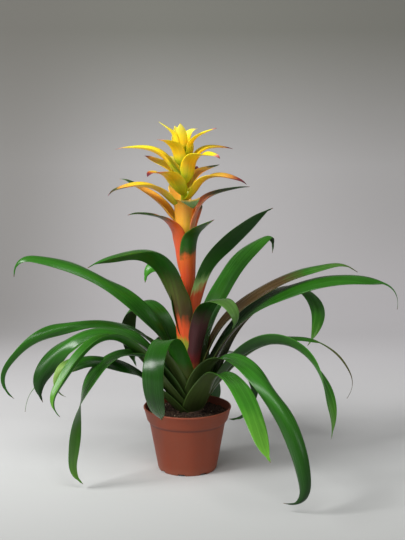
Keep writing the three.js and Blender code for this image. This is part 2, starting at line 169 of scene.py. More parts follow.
LEAVES = [
    row(317, 86, -36, 53, 6, 330, 29, "heart_red", ring=0, hook=16, sweep=1, roll=7, twist=-28, turn=56,
        arch=-0.51),
    row(186, 86, 95, 87, 5, 222, 25, "inner", ring=0, hook=-5, roll=-8, twist=-51, turn=80, arch=-0.71),
    row(237, 85, 3, 56, 8, 364, 39, "heart_orange", ring=0, hook=12, sweep=-1, roll=-7, twist=29, turn=56,
        arch=-1.22),
    row(48, 81, 2, 65, 34, 320, 28, "inner", ring=1, hook=110, sweep=8, roll=20, twist=-30, turn=82,
        arch=-1.09, tail=0.03),
    row(140, 77, 116, 61, 11, 270, 27, "inner", ring=2, hook=13, sweep=-12, roll=-33, twist=43, turn=66,
        arch=-0.92),
    row(307, 86, 106, 85, 14, 226, 24, "heart_maroon", ring=2, hook=32, sweep=11, roll=-35, twist=42,
        turn=66, arch=-0.34),
    row(174, 81, 3, 51, 57, 344, 26, "brown_back", ring=1, hook=86, sweep=8, roll=-67, twist=45, turn=44,
        arch=-1.06),
    row(6, 86, -1, 34, 30, 323, 24, "brown_edge", ring=3, hook=42, sweep=1, roll=19, twist=-7, turn=72,
        arch=-0.89, tail=0.03),
    row(249, 76, 152, 60, 16, 293, 29, "front", ring=3, hook=2, sweep=13, roll=5, twist=5, turn=74,
        arch=-0.37),
    row(4, 75, 33, 69, 52, 383, 35, "brown_back", ring=4, hook=65, sweep=2, roll=16, twist=27, turn=85,
        arch=-0.93, tail=0.11),
    # This leaf's bright end dress stands partly for a painted highlight
    row(212, 54, 50, 54, 6, 291, 32, "fresh_end", ring=7, hook=76, sweep=1, roll=10, arch=1.6),
    row(85, 76, 85, 42, 16, 280, 32, "brown_back", ring=4, tail=0.04),
    row(186, 68, 71, 54, 15, 304, 33, "dark_end", ring=5, hook=40, sweep=1, roll=-17, twist=-71, turn=78,
        arch=-1.27),
    row(302, 78, 90, 25, 28, 389, 28, "dark_end", ring=5, hook=93, sweep=25, roll=9, twist=53, turn=65,
        arch=-1.8, tail=0.03),
    row(57, 66, 162, 87, 56, 264, 18, "brown_back", ring=5, hook=30, sweep=-31, roll=9, twist=-124,
        turn=70, arch=-1.8),
    row(335, 54, 83, 54, 11, 317, 33, "bright_turn", ring=6, hook=15, roll=-39, twist=46, turn=74,
        arch=0.76),
    row(217, 79, 69, 75, 56, 376, 21, "plain", ring=4, hook=64, sweep=-23, roll=-18, twist=-117, turn=69,
        arch=-1.8),
    row(105, 66, 80, 45, 20, 280, 32, "plain", ring=6, tail=0.04),
    row(8, 55, 82, 64, 21, 303, 24, "brown_tail", ring=7, hook=42, sweep=-1, roll=5, twist=85, turn=68,
        arch=-0.84, tail=0.33),
    row(210, 68, 86, 40, 12, 331, 32, "bright_turn", ring=6, hook=44, sweep=6, roll=1, twist=59, turn=66,
        arch=-0.13),
    row(100, 65, 75, 45, 20, 250, 30, "plain", ring=7, tail=0.04),
    row(40, 59, 170, 100, 20, 359, 31, "bright_end", ring=8, hook=-32, sweep=-18, roll=-3, twist=-31,
        turn=80, arch=-1.06),
    row(155, 62, 46, 39, 8, 359, 25, "fresh_end", ring=8, hook=32, sweep=1, roll=-12, twist=29, turn=77,
        arch=-0.99, tail=0.23),
    row(292, 53, 53, 49, 20, 307, 28, "fresh_end", ring=8, hook=-34, sweep=-5, roll=-7, arch=-0.05),
    row(205, 50, 113, 100, 20, 238, 25, "pale_curl", ring=9, hook=38, sweep=-3, roll=-32, twist=-130,
        turn=83, arch=-1.8, tail=0.04),
    row(78, 44, 70, 42, 20, 195, 31, "plain", ring=9, tail=0.04),
]

# The bracts round the stem, each by its height above the soil, its line and its dress. A bract leans in over
# its base by BRACT_CUP degrees, unless it has its own cup.
BRACTS = [
    row(268, 88, -78, 60, 6, 70, 30, "ember", height=146, cup=10),
    row(312, 87, -25, 68, 5, 142, 37, "ember_leaf", height=152, cup=16),
    row(95, 84, -15, 45, 12, 75, 34, "ember_green", height=208),
    row(205, 86, -9, 59, 7, 146, 40, "ember_green", height=180, hook=16, cup=16),
    row(70, 84, -20, 45, 12, 74, 32, "rose_green", height=236),
    row(10, 86, -8, 52, 8, 142, 33, "rose_green", height=217, hook=8, cup=16),
    row(286, 86, 26, 69, 4, 87, 41, "amber", height=236, cup=34),
    row(166, 83, -30, 13, 18, 108, 31, "orange_green", height=256, hook=28),
    row(108, 84, -20, 45, 12, 68, 30, "amber", height=268),
    row(198, 82, 17, 27, 25, 114, 37, "gold_brown", height=278, hook=30),
    row(338, 85, 17, 36, 15, 100, 32, "gold_red", height=290, hook=18),
    row(62, 84, -30, 45, 12, 54, 28, "gold_red", height=294),
    row(236, 83, -1, 26, 22, 90, 34, "gold_purple", height=298, hook=43),
    row(28, 84, -12, 33, 15, 62, 28, "amber", height=303),
    row(118, 84, -30, 45, 12, 54, 27, "sun", height=309),
    row(318, 86, 2, 47, 7, 85, 34, "sun_pink", height=313, hook=28),
    row(148, 84, -25, 8, 9, 65, 27, "sun_purple", height=320, hook=22),
    row(176, 84, 2, 33, 17, 100, 35, "sun_pink", height=323, hook=13),
    row(8, 84, 8, 42, 13, 77, 30, "sun_purple", height=328, hook=8),
    row(78, 84, -40, 45, 12, 54, 24, "sun_pink", height=331),
    row(222, 84, -12, 54, 11, 59, 30, "sun_pink", height=337),
    row(112, 85, -45, 45, 12, 46, 21, "sun", height=344),
    row(352, 84, -21, 42, 9, 58, 26, "sun_pink", height=350),
    row(182, 86, -39, 56, 7, 54, 26, "sun", height=352),
    row(30, 84, 7, 77, 8, 40, 21, "sun", height=355),
    row(263, 84, -70, 59, 11, 40, 17, "sun", height=357),
    row(130, 85, -65, 59, 11, 34, 16, "sun", height=358),
]

# Named colours, as they look, in hexadecimal red, green and blue
COLOURS = {
    "night green": "122a0d",
    "deep green": "1a420e",
    "leaf green": "285f14",
    "bright green": "35741a",
    "fresh green": "5f952f",
    # A painted highlight, used as a pale band on the heart_red leaf
    "painted highlight green": "a5c878",
    "moss": "4f7434",
    "curl green": "7fa050",
    "base lime": "96a036",
    "base green": "3c4c22",
    "olive": "4a5222",
    "brown": "4a3a22",
    "maroon": "47282a",
    "ember red": "d8552e",
    "flame": "e0662a",
    "rose": "e88c68",
    "orange": "f8a83e",
    "amber": "fac044",
    "gold": "f9ca20",
    "sun yellow": "fde02c",
    "light yellow": "fff070",
    "lime": "b6c42a",
    "pink": "e08080",
    "dark red": "7a2a2a",
    "purple": "3a1c30",
    "grey green": "4f6a48",
    "dry brown": "6b5030",
    "pot brown": "84422d",
    "pot red": "8c4028",
    "pot dust": "9a6650",
    "soil black": "241b16",
    "soil brown": "46352a",
    "bark": "4a3424",
    "straw": "8a7458",
    "perlite": "d8cfbd",
    # The studio colours paint a falloff of light and shade onto the paper
    "studio light": "c6c7c6",
    "studio front": "a6a7a5",
    "studio middle": "c6c4c6",
    "studio bend": "b7b4b6",
    "studio wall": "aaa8a8",
    "studio top": "74746d",
    "studio painted shade": "6a6863",
}

# The studio's paper from the front of the floor, at 0, to high on the wall, at 1, painted with light and
# shade that falls off towards the front and up the wall, then the soil from its dark crumbs to its pale
# grains, and the crown from the soil up
STUDIO_PAINTED_FALLOFF = [(0.08, "studio front"), (0.2, "studio light"), (0.45, "studio middle"), (0.6, "studio bend"),
                (0.84, "studio wall"), (1, "studio top")]
SOIL_TONES = [(0, "soil black"), (0.35, "soil brown"), (0.62, "bark"), (0.8, "straw"), (1, "perlite")]
CROWN_TONES = [(0, "bark"), (0.5, "brown"), (1, "base green")]

# The colours of each dress from base to tip, on the upper face and on the back of a leaf and alike on both
# faces of a bract. A dress keeps its first colour up to that colour's place, and its last one beyond it.
LEAF_DRESSES = {
    # The pale green band of heart_red, on both faces, is a painted highlight
    "heart_red": dict(
        upper=[(0, "flame"), (0.4, "painted highlight green"), (0.55, "leaf green")],
        back=[(0, "flame"), (0.42, "ember red"), (0.48, "painted highlight green"), (0.55, "leaf green"),
              (0.7, "deep green")]),
    "heart_orange": dict(
        upper=[(0, "lime"), (0.3, "olive"), (0.5, "leaf green")],
        back=[(0.19, "base lime"), (0.235, "ember red"), (0.27, "ember red"), (0.32, "brown"),
              (0.42, "olive"), (0.52, "leaf green")]),
    "heart_maroon": dict(
        upper=[(0, "lime"), (0.4, "leaf green"), (0.8, "moss")],
        back=[(0, "lime"), (0.12, "orange"), (0.22, "dark red"), (0.32, "maroon"), (0.48, "maroon"),
              (0.6, "deep green"), (0.75, "leaf green"), (1, "moss")]),
    "inner": dict(
        upper=[(0, "olive"), (0.3, "deep green"), (0.6, "leaf green"), (1, "bright green")],
        back=[(0, "brown"), (0.3, "maroon"), (0.55, "base green"), (1, "deep green")]),
    "brown_back": dict(
        upper=[(0, "olive"), (0.25, "deep green"), (0.6, "leaf green")],
        back=[(0, "olive"), (0.15, "brown"), (0.5, "maroon"), (0.75, "deep green"), (1, "leaf green")]),
    "brown_edge": dict(
        upper=[(0, "olive"), (0.2, "brown"), (0.66, "brown"), (0.78, "leaf green"), (0.9, "moss"),
               (1, "olive")],
        back=[(0, "olive"), (0.15, "brown"), (0.72, "brown"), (0.85, "leaf green"), (1, "olive")]),
    "front": dict(
        upper=[(0, "olive"), (0.4, "leaf green"), (0.6, "deep green"), (0.8, "deep green"),
               (1, "leaf green")],
        back=[(0, "base green"), (0.14, "olive"), (0.22, "leaf green")]),
    "plain": dict(
        upper=[(0.3, "deep green"), (0.7, "leaf green")],
        back=[(0.25, "base green"), (0.5, "deep green")]),
    "dark_end": dict(
        upper=[(0, "deep green"), (0.4, "leaf green"), (0.66, "leaf green"), (0.84, "deep green"),
               (1, "night green")],
        back=[(0.25, "base green"), (0.5, "deep green"), (1, "night green")]),
    "brown_tail": dict(
        upper=[(0.3, "deep green"), (0.62, "leaf green"), (0.74, "olive"), (1, "brown")],
        back=[(0.25, "base green"), (0.6, "deep green"), (0.74, "olive"), (1, "brown")]),
    "bright_turn": dict(
        upper=[(0, "deep green"), (0.5, "leaf green"), (0.7, "leaf green"), (0.8, "bright green"),
               (1, "fresh green")],
        back=[(0, "base green"), (0.3, "deep green"), (0.55, "leaf green"), (0.8, "bright green"),
              (1, "fresh green")]),
    "pale_curl": dict(
        upper=[(0.62, "deep green"), (0.72, "leaf green"), (0.8, "curl green"), (0.92, "curl green"),
               (1, "olive")],
        back=[(0, "base green"), (0.5, "deep green"), (0.72, "leaf green"), (0.8, "curl green"),
              (1, "olive")]),
    "bright_end": dict(
        upper=[(0, "deep green"), (0.5, "brown"), (0.66, "deep green"), (0.78, "leaf green"),
               (0.9, "bright green"), (1, "fresh green")],
        back=[(0, "olive"), (0.5, "brown"), (0.66, "brown"), (0.76, "leaf green"), (0.9, "bright green"),
              (1, "fresh green")]),
    # On leaf_11 this bright green end is partly a painted highlight
    "fresh_end": dict(
        upper=[(0, "deep green"), (0.4, "leaf green"), (0.7, "bright green"), (1, "fresh green")],
        back=[(0.3, "base green"), (0.5, "leaf green"), (1, "bright green")]),
}
BRACT_DRESSES = {
    "ember": [(0, "ember red"), (0.6, "flame")],
    "ember_leaf": [(0.25, "ember red"), (0.45, "flame"), (0.5, "olive"), (0.56, "leaf green"),
                   (0.8, "leaf green"), (1, "deep green")],
    "ember_green": [(0, "flame"), (0.3, "ember red"), (0.6, "flame"), (0.7, "olive"), (0.79, "deep green"),
                    (1, "night green")],
    "rose_green": [(0, "orange"), (0.35, "rose"), (0.57, "rose"), (0.67, "olive"), (0.76, "deep green"),
                   (1, "night green")],
    "amber": [(0, "lime"), (0.25, "amber"), (0.55, "orange"), (0.72, "amber"), (0.82, "grey green"),
              (1, "deep green")],
    "orange_green": [(0, "lime"), (0.2, "amber"), (0.4, "orange"), (0.66, "orange"), (0.76, "olive"),
                     (0.85, "deep green"), (1, "grey green")],
    "gold_brown": [(0.15, "lime"), (0.35, "amber"), (0.6, "gold"), (0.76, "orange"), (0.84, "olive"),
                   (1, "purple")],
    "gold_red": [(0.15, "lime"), (0.35, "gold"), (0.55, "amber"), (0.7, "orange"), (0.82, "dark red"),
                 (1, "purple")],
    "gold_purple": [(0.2, "lime"), (0.42, "gold"), (0.65, "gold"), (0.8, "flame"), (0.9, "dark red"),
                    (1, "purple")],
    "sun_pink": [(0.18, "lime"), (0.36, "gold"), (0.55, "sun yellow"), (0.85, "sun yellow"), (0.93, "pink"),
                 (1, "dark red")],
    "sun_purple": [(0.15, "lime"), (0.35, "gold"), (0.6, "sun yellow"), (0.84, "orange"), (0.9, "dark red"),
                   (1, "purple")],
    "sun": [(0.15, "lime"), (0.35, "gold"), (0.6, "sun yellow"), (1, "light yellow")],
}


def smooth(x, low, high):
    u = np.clip((x - low) / (high - low), 0, 1)
    return u * u * (3 - 2 * u)


def linear(name):
    """A named colour as the linear red, green, blue and alpha that a shader takes."""
    parts = [int(COLOURS[name][i:i + 2], 16) / 255 for i in (0, 2, 4)]
    return [p / 12.92 if p <= 0.04045 else ((p + 0.055) / 1.055) ** 2.4 for p in parts] + [1]


# Shader helpers. One that is given no tree puts its node in that of its first socket.
def fill_inputs(node, values):
    """Sets each input of a node to a number or colour, or links it to another node's output."""
    for key, value in values.items():
        if isinstance(value, bpy.types.NodeSocket):
            node.id_data.links.new(value, node.inputs[key])
        else:
            node.inputs[key].default_value = value


def add_node(tree, kind, inputs=None, **settings):
    node = tree.nodes.new(kind)
    for name, value in settings.items():
        setattr(node, name, value)
    fill_inputs(node, inputs or {})
    return node


def maths(operation, first, *others):
    inputs = dict(enumerate((first, *others)))
    return add_node(first.id_data, "ShaderNodeMath", inputs, operation=operation).outputs[0]


def times(first, second):
    return maths("MULTIPLY", first, second)


def plus(first, second):
    return maths("ADD", first, second)


def between(value, low, high):
    """A straight run from low, where the value is 0, to high, where it is 1."""
    return maths("MULTIPLY_ADD", value, high - low, low)


def ranged(value, low, high, to_low=0.0, to_high=1.0):
    """An eased run from to_low to to_high while the value goes from low to high."""
    inputs = {"Value": value, "From Min": low, "From Max": high, "To Min": to_low, "To Max": to_high}
    return add_node(value.id_data, "ShaderNodeMapRange", inputs, interpolation_type="SMOOTHSTEP").outputs[0]


def mixed(tree, factor, first, second, blend="MIX"):
    inputs = {0: factor, 6: first, 7: second}
    return add_node(tree, "ShaderNodeMix", inputs, data_type="RGBA", blend_type=blend).outputs[2]


def shaded(colour, shade):
    """A colour multiplied by a grey."""
    tree = colour.id_data
    grey = add_node(tree, "ShaderNodeCombineColor", {0: shade, 1: shade, 2: shade}).outputs[0]
    return mixed(tree, 1.0, colour, grey, "MULTIPLY")


def attribute(tree, name, output="Fac"):
    return add_node(tree, "ShaderNodeAttribute", attribute_name=name).outputs[output]


def object_place(tree):
    return add_node(tree, "ShaderNodeTexCoord").outputs["Object"]


def split(vector):
    return add_node(vector.id_data, "ShaderNodeSeparateXYZ", {0: vector}).outputs


def scaled(vector, scale):
    inputs = {0: vector, 1: scale}
    return add_node(vector.id_data, "ShaderNodeVectorMath", inputs, operation="MULTIPLY").outputs[0]


def noise(vector, scale, detail, roughness=0.5):
    inputs = {"Vector": vector, "Scale": scale, "Detail": detail, "Roughness": roughness}
    return add_node(vector.id_data, "ShaderNodeTexNoise", inputs).outputs["Fac"]


def bumped(height, strength, depth):
    """The normals of a relief in which a height of 1 is a depth in metres."""
    inputs = {"Height": height, "Strength": strength, "Distance": depth}
    return add_node(height.id_data, "ShaderNodeBump", inputs).outputs[0]


def ramp(factor, bands):
    node = add_node(factor.id_data, "ShaderNodeValToRGB", {"Fac": factor})
    elements = node.color_ramp.elements
    while len(elements) < len(bands):
        elements.new(0.5)
    for element, (place, name) in zip(elements, bands):
        element.position = place
        element.color = linear(name)
    return node.outputs[0]


def new_group(name, inputs, outputs):
    """An empty effect group, with its inner sockets. An input that has no value is a vector."""
    tree = bpy.data.node_groups.new(name, "ShaderNodeTree")
    for label, value in inputs.items():
        kind = "NodeSocketVector" if value is None else "NodeSocketFloat"
        socket = tree.interface.new_socket(label, in_out="INPUT", socket_type=kind)
        if value is not None:
            socket.default_value = value
    for label in outputs:
        tree.interface.new_socket(label, in_out="OUTPUT", socket_type="NodeSocketFloat")
    return tree, tree.nodes.new("NodeGroupInput").outputs, tree.nodes.new("NodeGroupOutput").inputs


def placed_group(tree, group, inputs):
    return add_node(tree, "ShaderNodeGroup", inputs, node_tree=group).outputs


def vein_group():
    """Long fine veins that run with a blade. Strap holds the place across and along it in metres."""
    inputs = {"Strap": None, "Veins per metre": 700.0}
    tree, given, made = new_group("long_veins", inputs, ["Line", "Streak"])
    wander = noise(scaled(given["Strap"], VEIN_WANDER), 1.0, 1.0)
    turns = times(split(given["Strap"])[0], given["Veins per metre"])
    turns = plus(turns, times(wander, 1.6))
    wave = maths("SINE", times(turns, 2 * math.pi))
    tree.links.new(between(wave, 0.5, 1.0), made["Line"])
    tree.links.new(noise(scaled(given["Strap"], VEIN_STREAKS), 1.0, 3.0, 0.6), made["Streak"])
    return tree


def patch_group():
    """Soft uneven patches, for colour and gloss that are never quite the same all over, and small specks."""
    tree, given, made = new_group("soft_patches", {"Place": None, "Size": 30.0}, ["Patch", "Speck"])
    small = noise(given["Place"], times(given["Size"], 14.0), 2.0, 0.6)
    tree.links.new(noise(given["Place"], given["Size"], 3.0, 0.55), made["Patch"])
    tree.links.new(ranged(small, 0.62, 0.78), made["Speck"])
    return tree


def margin_group():
    """Masks for the thin edge and the dry tip of a blade."""
    inputs = {"Along": 0.0, "Across": 0.0, "Tip": 0.985}
    tree, given, made = new_group("blade_margin", inputs, ["Edge", "Tip"])
    rim = maths("ABSOLUTE", given["Across"])
    tip_end = plus(given["Tip"], 0.015)
    tree.links.new(ranged(rim, 0.93, 1.0), made["Edge"])
    tree.links.new(ranged(given["Along"], given["Tip"], tip_end), made["Tip"])
    return tree


VEINS = vein_group()
PATCHES = patch_group()
MARGIN = margin_group()


def new_material(name):
    material = bpy.data.materials.new(name)
    material.use_nodes = True
    tree = material.node_tree
    return material, tree, tree.nodes["Principled BSDF"]


def blade_marks(tree, veins_per_metre, patch_size, patch_drift, tip):
    """What leaves and bracts share: where their bands fall, their face, veins, patches and margin."""
    along = attribute(tree, "along")
    strap = attribute(tree, "strap", "Vector")
    veins = placed_group(tree, VEINS, {"Strap": strap, "Veins per metre": veins_per_metre})
    patches = placed_group(tree, PATCHES, {"Place": strap, "Size": patch_size})
    margin = placed_group(tree, MARGIN, {"Along": along, "Across": attribute(tree, "across"), "Tip": tip})
    drift = between(patches["Patch"], -patch_drift, patch_drift)
    drift = plus(drift, between(veins["Streak"], -0.06, 0.06))
    return plus(along, drift), attribute(tree, "face"), veins, patches, margin


def leaf_material(name, upper, back):
    """Glossy strap leaf: bands of colour from base to tip, fine veins, a pale edge and a dry tip."""
    material, tree, shader = new_material(name)
    place, face, veins, patches, margin = blade_marks(tree, 620.0, 26.0, 0.08, 0.985)
    shade = times(between(veins["Streak"], 0.55, 1.45), between(veins["Line"], 1.06, 0.94))
    shade = times(shade, between(patches["Patch"], 0.75, 1.25))
    colour = shaded(mixed(tree, face, ramp(place, back), ramp(place, upper)), shade)
    colour = mixed(tree, times(margin["Edge"], 0.2), colour, linear("fresh green"))
    colour = mixed(tree, margin["Tip"], colour, linear("dry brown"))
    gloss = ranged(face, 0.0, 1.0, 0.38, 0.27)
    gloss = plus(gloss, between(veins["Streak"], -0.06, 0.06))
    height = plus(times(veins["Line"], 0.35), times(veins["Streak"], 1.1))
    fill_inputs(shader, {
        "Base Color": colour, "Roughness": gloss, "Normal": bumped(height, 0.4, 0.0003),
        "Specular IOR Level": 0.25, "Coat Weight": 0.06, "Coat Roughness": 0.18})
    return material


def bract_material(name, bands):
    """Waxy bract: bands of colour from base to tip over faint veins, and a dark red tip."""
    material, tree, shader = new_material(name)
    place, face, veins, patches, margin = blade_marks(tree, 900.0, 55.0, 0.1, 0.97)
    shade = times(between(veins["Streak"], 0.8, 1.2), between(veins["Line"], 1.03, 0.97))
    shade = times(shade, between(face, 0.9, 1.05))
    colour = shaded(ramp(place, bands), shade)
    colour = mixed(tree, times(margin["Tip"], 0.6), colour, linear("dark red"))
    height = plus(times(veins["Line"], 0.2), veins["Streak"])
    fill_inputs(shader, {
        "Base Color": colour, "Roughness": between(patches["Patch"], 0.32, 0.48),
        "Normal": bumped(height, 0.3, 0.0003), "Specular IOR Level": 0.35,
        "Subsurface Weight": 0.45, "Subsurface Scale": 0.003, "Subsurface Radius": (1.0, 0.7, 0.2)})
    return material


def mesh_object(name, corners, faces, material, soft=True):
    mesh = bpy.data.meshes.new(name)
    mesh.from_pydata(np.asarray(corners).tolist(), [], [[int(k) for k in face] for face in faces])
    mesh.polygons.foreach_set("use_smooth", [soft] * len(mesh.polygons))
    mesh.materials.append(material)
    thing = bpy.data.objects.new(name, mesh)
    bpy.context.scene.collection.objects.link(thing)
    return thing


def mesh_piece(name, corners, faces, material, stands_for=(), soft=True):
    """A finished piece of the plant or its pot, from corners in metres."""
    piece = mesh_object(name, corners, faces, material, soft)
    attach(piece, "root")
    if stands_for:
        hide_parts(*stands_for)
    return piece


def give(piece, name, values, kind="FLOAT"):
    """Stores one number or vector at each corner of a piece's mesh for its material."""
    layer = piece.data.attributes.new(name, kind, "POINT")
    key = "vector" if kind == "FLOAT_VECTOR" else "value"
    layer.data.foreach_set(key, np.asarray(values, np.float32).ravel())


def to_part_frame(points):
    """From the plant's own frame in millimetres, foot at its origin, to the part's in metres."""
    lean = math.radians(-LEAN)
    x = points[..., 0] * math.cos(lean) + points[..., 2] * math.sin(lean) + PLANT_X
    z = points[..., 2] * math.cos(lean) - points[..., 0] * math.sin(lean) + SOIL_TOP
    return np.stack([x, points[..., 1], z], -1) * MM


def midrib(blade, radius, height, stations, cup=0, root=0):
    """The places along a blade in mm, with the directions across it and towards its upper face."""
    t = np.linspace(0, 1, stations)
    step = 1 / (1 + np.exp((blade["bend"] - 100 * t) / blade["ease"]))
    bent = (step - step[0]) / (step[-1] - step[0])
    pitch = blade["rise"] - (blade["rise"] + blade["fall"]) * bent
    pitch -= blade.get("hook", 0) * smooth(t, HOOK_START, 1) + cup * (1 - smooth(t, 0, CUP_END))
    heading = blade["azimuth"] + blade.get("sweep", 0) * t ** 2
    run = blade["long"] * t
    if root:
        back = np.arange(-root, 0, 3.0)
        run = np.concatenate([back, run])
        t = np.concatenate([np.zeros(len(back)), t])
        pitch = np.concatenate([np.full(len(back), pitch[0]), pitch])
        heading = np.concatenate([np.full(len(back), heading[0]), heading])
    pitch, heading = np.radians(pitch), np.radians(heading)
    along = np.stack([np.cos(pitch) * np.cos(heading), np.cos(pitch) * np.sin(heading), np.sin(pitch)], 1)
    across = np.stack([-np.sin(heading), np.cos(heading), np.zeros(len(t))], 1)
    upper = np.cross(along, across)
    turn = blade.get("turn", 75) / 100
    roll = blade.get("roll", 0) * smooth(t, *ROLL_SPAN)
    roll = roll + blade.get("twist", 0) * smooth(t, turn - TWIST_REACH, turn + TWIST_REACH)
    roll = np.radians(roll)[:, None]
    across, upper = (across * np.cos(roll) + upper * np.sin(roll),
                     upper * np.cos(roll) - across * np.sin(roll))
    steps = (along[1:] + along[:-1]) / 2 * np.diff(run)[:, None]
    place = np.concatenate([np.zeros((1, 3)), np.cumsum(steps, 0)])
    azimuth = math.radians(blade["azimuth"])
    start = np.array([radius * math.cos(azimuth), radius * math.sin(azimuth), height])
    place += start - place[np.searchsorted(run, 0)]
    return dict(t=t, run=run, pitch=pitch, place=place, across=across, upper=upper)


def across_turn(s, keel):
    """The share of a section's full turn at s across it: even for a small keel, a V for a large one."""
    keel = np.maximum(keel, 0.05)[:, None]
    return np.tanh(keel * s) / np.tanh(keel)


def summed(values, s):
    """The running integral of values over s, which is 0 in the middle."""
    steps = (values[:, 1:] + values[:, :-1]) / 2 * np.diff(s)
    total = np.concatenate([np.zeros((len(values), 1)), np.cumsum(steps, 1)], 1)
    return total - total[:, [len(s) // 2]]


def edge_wave(rib, s, seed):
    """Uneven waves along both edges of a blade, which die out towards its midrib and its base."""
    phase = np.random.default_rng(seed).uniform(0, 2 * math.pi, 4)
    run = rib["run"][:, None]
    left = np.sin(run / 19 + phase[0]) + 0.7 * np.sin(run / 11 + phase[1])
    right = np.sin(run / 17 + phase[2]) + 0.7 * np.sin(run / 12 + phase[3])
    return np.where(s < 0, left, right) * np.abs(s) ** 3 * smooth(rib["t"], 0.15, 0.4)[:, None]


def quads(a, b, c, d):
    return np.stack([a, b, c, d], -1).reshape(-1, 4)


def blade_piece(name, rib, width, fold, seed, material, slot, stands_for=(), *, columns, clasp, thick, wave,
                tuck, keel, opens):
    """A closed blade on a channelled section, which clasps the plant's axis where it lies near it."""
    s = np.linspace(-1, 1, columns)
    reach = np.hypot(rib["place"][:, 0], rib["place"][:, 1])
    around = np.maximum(np.sin(rib["pitch"]), 0.2) / reach
    free = fold / width
    held = (rib["pitch"] > 0) * (1 - smooth(rib["t"], *opens))
    curve = free + (np.maximum(free, around) - free) * held
    half = np.minimum(width / 2, clasp / 2 / np.maximum(np.abs(curve), 0.001))
    loose = smooth(rib["t"], 0.12, 0.4)
    angle = (curve * half)[:, None] * across_turn(s, keel * loose)
    across = rib["across"][:, None, :]
    upper = rib["upper"][:, None, :]
    side = half[:, None, None] * summed(np.cos(angle), s)[..., None]
    rise = half[:, None, None] * summed(np.sin(angle), s)[..., None]
    normal = upper * np.cos(angle)[..., None] - across * np.sin(angle)[..., None]
    middle = rib["place"][:, None, :] + across * side + upper * rise
    middle = middle + normal * (tuck * s * (1 - loose)[:, None])[..., None]
    middle = middle + normal * (wave * edge_wave(rib, s, seed))[..., None]
    slim = np.minimum(1, 0.35 + 0.65 * (1 - rib["t"]) * 4)[:, None]
    depth = (thick * slim * (1 - 0.6 * np.abs(s) ** 2.5))[..., None] / 2
    rows = np.concatenate([middle + normal * depth, middle - normal * depth], 1)
    stations, ring = rows.shape[:2]
    index = np.arange(stations * ring).reshape(stations, ring)
    top, low = index[:, :columns], index[:, columns:]
    faces = np.concatenate([
        quads(top[:-1, :-1], top[1:, :-1], top[1:, 1:], top[:-1, 1:]),
        quads(low[:-1, :-1], low[:-1, 1:], low[1:, 1:], low[1:, :-1]),
        quads(top[:-1, 0], low[:-1, 0], low[1:, 0], top[1:, 0]),
        quads(top[:-1, -1], top[1:, -1], low[1:, -1], low[:-1, -1]),
        quads(top[0, :-1], top[0, 1:], low[0, 1:], low[0, :-1]),
        quads(top[-1, :-1], low[-1, :-1], low[-1, 1:], top[-1, 1:])])
    piece = mesh_piece(name, to_part_frame(rows.reshape(-1, 3)), faces, material, stands_for)
    both = np.ones((stations, ring))
    place = np.concatenate([s, s])
    give(piece, "along", both * rib["t"][:, None])
    give(piece, "across", both * place)
    give(piece, "face", both * np.repeat([1.0, 0.0], columns))
    # The third number is each blade's own, so that no two have the same veins
    strap = [half[:, None] * place * MM, both * rib["run"][:, None] * MM, both * (seed % 97) * 0.37]
    give(piece, "strap", np.stack(strap, -1), "FLOAT_VECTOR")


def strap_width(t, wide, tail):
    """A broad sheath at the base, then an even strap with a blunt end that runs out in a thin tail."""
    end = 1 - tail
    body = wide * (1 - (np.clip(t - end + 0.42, 0, 0.42) / 0.42) ** 4.5)
    sheath = (SHEATH_WIDTH - wide) * (1 - smooth(t, 0.04, 0.3))
    drip = TAIL_WIDTH * np.minimum((1 - t) / tail, 1) * smooth(t, 0.5, 0.8)
    return np.maximum(np.maximum(body + sheath, drip), 0.7)


def bract_width(t, wide):
    """A bract swells from its root and then tapers to a sharp tip."""
    swell = np.minimum(0.55 + 0.45 * smooth(t, 0, 0.3), 0.15 + 2.4 * np.sqrt(t))
    taper = 1 - (np.maximum(t - 0.45, 0) / 0.55) ** 2.2
    return np.maximum(wide * swell * taper, 0.6)


def build_leaves():
    materials = {name: leaf_material("leaf_" + name, **bands) for name, bands in LEAF_DRESSES.items()}
    for number, leaf in enumerate(LEAVES, 1):
        height = INNER_START - START_STEP * leaf["ring"]
        root = (height + LEAF_ROOT_DEPTH) / math.sin(math.radians(leaf["rise"]))
        rib = midrib(leaf, INNER_RADIUS + RING_STEP * leaf["ring"], height, LEAF_STATIONS, root=root)
        width = strap_width(rib["t"], leaf["wide"], leaf.get("tail", 0.02))
        fold = CAMBER + (leaf.get("arch", -0.8) - CAMBER) * smooth(rib["t"], 0.25, 0.6)
        node = f"leaf_{number:02d}"
        blade_piece(node + "_blade", rib, width, fold, SEED + number, materials[leaf["dress"]], "leaf",
                    [node], **LEAF_BLADE)


def build_spike():
    """The core of the stem and of the head, and the bracts on them."""
    materials = {name: bract_material("bract_" + name, bands) for name, bands in BRACT_DRESSES.items()}
    for number, bract in enumerate(BRACTS, 1):
        cup = bract.get("cup", BRACT_CUP)
        rib = midrib(bract, BRACT_ROOT_RADIUS, bract["height"], BRACT_STATIONS, cup=cup)
        width = bract_width(rib["t"], bract["wide"])
        fold = 1.5 - 0.9 * smooth(rib["t"], 0.2, 0.9)
        slot = "stem" if bract["height"] < JOIN_HEIGHT else "head"
        blade_piece(f"bract_{number:02d}", rib, width, fold, BRACT_SEED + number, materials[bract["dress"]],
                    slot, **BRACT_BLADE)
    low = INNER_START + SEAT_GAP
    stem = [(0, low), (STEM_FOOT_RADIUS, low), (STEM_RADIUS, low + STEM_TAPER), (STEM_RADIUS, JOIN_HEIGHT),
            (0, JOIN_HEIGHT)]
    low = JOIN_HEIGHT + SEAT_GAP
    head = [(0, low), (STEM_RADIUS, low), (STEM_RADIUS, STEM_END - STEM_TAPER), (0, STEM_END)]
    plant_lathe("flower_stem_core", stem, materials["ember"], ["flower_stem"])
    plant_lathe("flower_head_core", head, materials["sun"], ["flower_head"])


